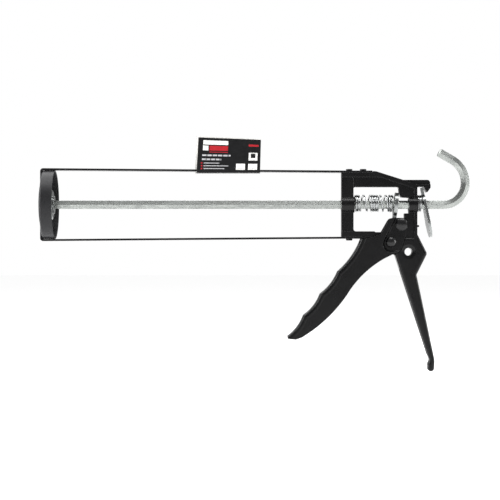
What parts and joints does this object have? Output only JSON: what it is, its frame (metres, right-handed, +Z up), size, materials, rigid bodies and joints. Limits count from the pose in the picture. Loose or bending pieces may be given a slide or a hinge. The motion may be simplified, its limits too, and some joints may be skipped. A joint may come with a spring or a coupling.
{
  "type": "caulking gun",
  "caption": "Skeleton-frame caulking gun: a cast grip with a squeezed trigger drives a hooked hexagonal rod and plunger through an open strap cradle that holds a sealant cartridge.",
  "frame": {"origin": "centre of the rod's bore at the housing's front face, which the cartridge's rear rim bears on", "axes": "+X along the rod towards its hook, -X towards the nozzle end, +Z up, handle and trigger hang towards -Z"},
  "size_m": [0.3319, 0.053, 0.1824],
  "materials": {
    "black_coating": "satin",
    "cup_coating": "satin",
    "black_rivet": "gloss",
    "zinc_plate": "satin",
    "spring_steel": "gloss",
    "card_print": "satin"
  },
  "bodies": {
    "frame": {"housing": "black_coating", "cradle_strap": "black_coating", "front_cup": "cup_coating", "strap_rivets_top": "black_coating", "strap_rivets_bottom": "black_coating", "retail_card": "card_print", "main_spring": "spring_steel", "release_spring": "spring_steel"},
    "trigger": {"trigger": "black_coating", "pivot_rivet": "black_rivet", "pusher_pin": "black_rivet"},
    "drive_plate": {"drive_plate": "zinc_plate"},
    "release_plate": {"release_plate": "zinc_plate"},
    "plunger": {"plunger_plate": "zinc_plate", "plunger_washer": "zinc_plate"},
    "rod": {"rod": "zinc_plate"}
  },
  "joints": [
    {"name": "trigger_squeeze", "type": "hinge", "parent": "frame", "child": "trigger", "pos_m": [0.038, 0, -0.0289], "axis": [0, -1, 0], "range_deg": [0, 38], "stiffness_Nm_per_rad": 1, "springref_deg": -22.92},
    {"name": "drive_slide", "type": "slide", "parent": "frame", "child": "drive_plate", "axis": [-1, 0, 0], "range_m": [0, 0.0103], "deforming": ["main_spring"]},
    {"name": "plunger_slide", "type": "slide", "parent": "frame", "child": "plunger", "axis": [1, 0, 0], "range_m": [0, 0.2215]},
    {"name": "rod_turn", "type": "hinge", "parent": "plunger", "child": "rod", "pos_m": [-0.222, 0, 0], "axis": [1, 0, 0], "continuous": true},
    {"name": "release_press", "type": "hinge", "parent": "frame", "child": "release_plate", "pos_m": [0.0622, 0, 0.01315], "axis": [0, 1, 0], "range_deg": [0, 12], "stiffness_Nm_per_rad": 0.1, "springref_deg": -17.19, "deforming": ["release_spring"]}
  ],
  "couplings": [
    {"joint": "drive_slide", "follows": "trigger_squeeze", "m_per_rad": 0.0154}
  ]
}
